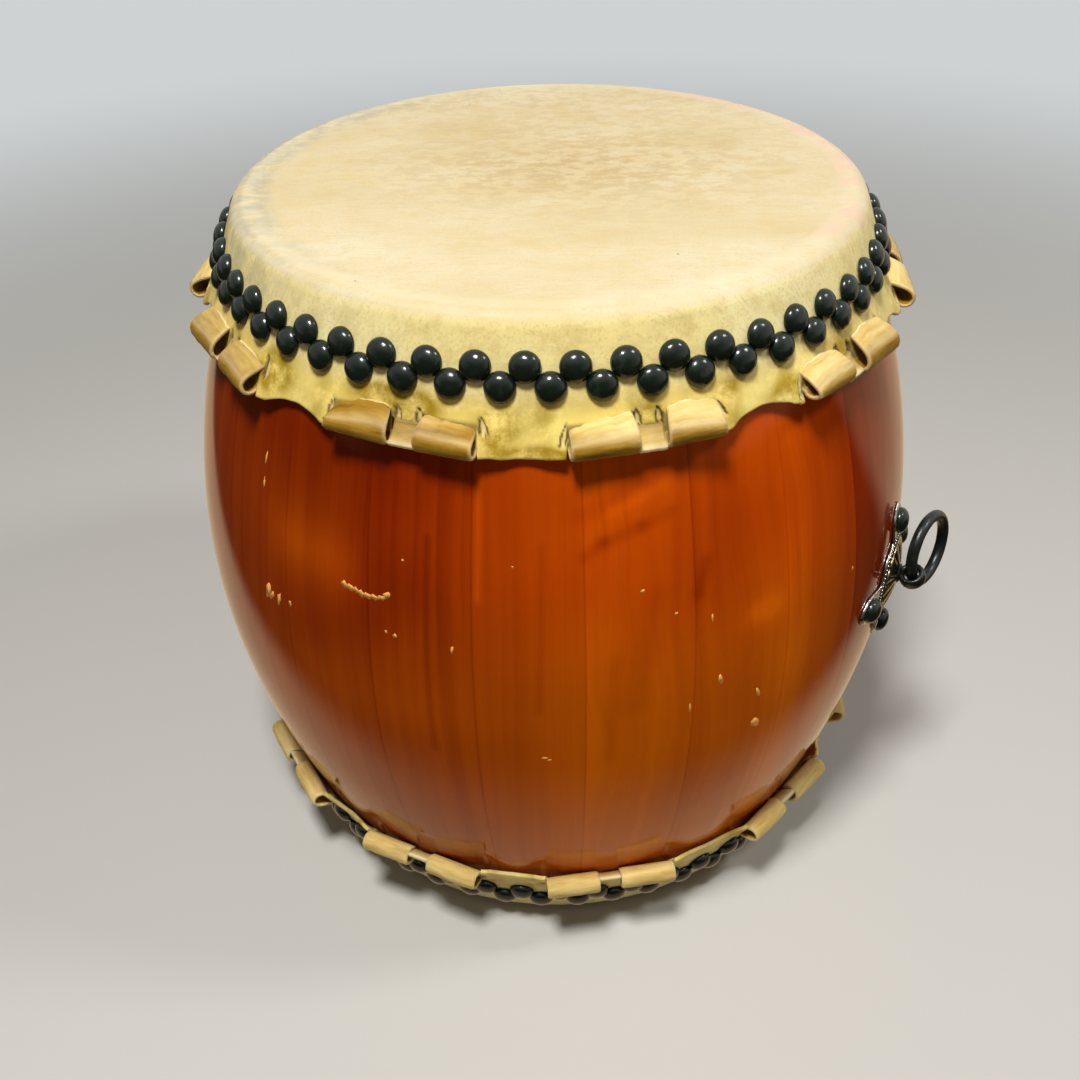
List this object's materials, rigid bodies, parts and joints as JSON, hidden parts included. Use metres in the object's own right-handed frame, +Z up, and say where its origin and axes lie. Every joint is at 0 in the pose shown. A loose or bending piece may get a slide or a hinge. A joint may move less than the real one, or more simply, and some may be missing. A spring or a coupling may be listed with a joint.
{
  "type": "nagado taiko",
  "caption": "Tall barrel drum of lacquered staves with a tacked rawhide head at each end, rolled hide ears below the tacks, and a ring handle on each side.",
  "frame": {"origin": "centre of the lower head's face, which the drum stands on", "axes": "+Z up along the drum's axis to the upper head, +X to the viewer's right and +Y away from the viewer of the picture"},
  "size_m": [0.6582, 0.5964, 0.575],
  "materials": {
    "lacquered_wood": "red-brown clear lacquer, glossy, over straight and flamed grain",
    "rawhide": "cream rawhide, satin, mottled, golden at the rolled ears",
    "black_iron": "near black, semi-gloss",
    "plated_steel": "plated and slightly worn, with an engraved band"
  },
  "bodies": {
    "drum": {"stave_01": "lacquered_wood", "stave_02": "lacquered_wood", "stave_03": "lacquered_wood", "stave_04": "lacquered_wood", "stave_05": "lacquered_wood", "stave_06": "lacquered_wood", "stave_07": "lacquered_wood", "stave_08": "lacquered_wood", "stave_09": "lacquered_wood", "stave_10": "lacquered_wood", "stave_11": "lacquered_wood", "stave_12": "lacquered_wood", "stave_13": "lacquered_wood", "stave_14": "lacquered_wood", "stave_15": "lacquered_wood", "stave_16": "lacquered_wood", "stave_17": "lacquered_wood", "stave_18": "lacquered_wood", "stave_19": "lacquered_wood", "stave_20": "lacquered_wood", "stave_21": "lacquered_wood", "stave_22": "lacquered_wood", "stave_23": "lacquered_wood", "stave_24": "lacquered_wood", "upper_head_skin": "rawhide", "upper_head_tacks": "black_iron", "lower_head_skin": "rawhide", "lower_head_tacks": "black_iron", "eye_bolt_right": "black_iron", "handle_boss_right": "plated_steel", "seat_plate_right": "plated_steel", "inside_washer_right": "black_iron", "eye_bolt_left": "black_iron", "handle_boss_left": "plated_steel", "seat_plate_left": "plated_steel", "inside_washer_left": "black_iron", "plate_tack_right_right": "black_iron", "plate_tack_right_top": "black_iron", "plate_tack_right_left": "black_iron", "plate_tack_right_bottom": "black_iron", "plate_tack_left_right": "black_iron", "plate_tack_left_top": "black_iron", "plate_tack_left_left": "black_iron", "plate_tack_left_bottom": "black_iron"},
    "ring_right": {"handle_ring_right": "black_iron"},
    "ring_left": {"handle_ring_left": "black_iron"}
  },
  "joints": [
    {"name": "ring_right_hinge", "type": "hinge", "parent": "drum", "child": "ring_right", "pos_m": [0.29108, -0.13021, 0.2815], "axis": [-0.3617, -0.2995, 0.8829], "range_deg": [-168, 22]},
    {"name": "ring_left_hinge", "type": "hinge", "parent": "drum", "child": "ring_left", "pos_m": [-0.29108, 0.13021, 0.2815], "axis": [0.3617, 0.2995, 0.8829], "range_deg": [-168, 22]}
  ]
}
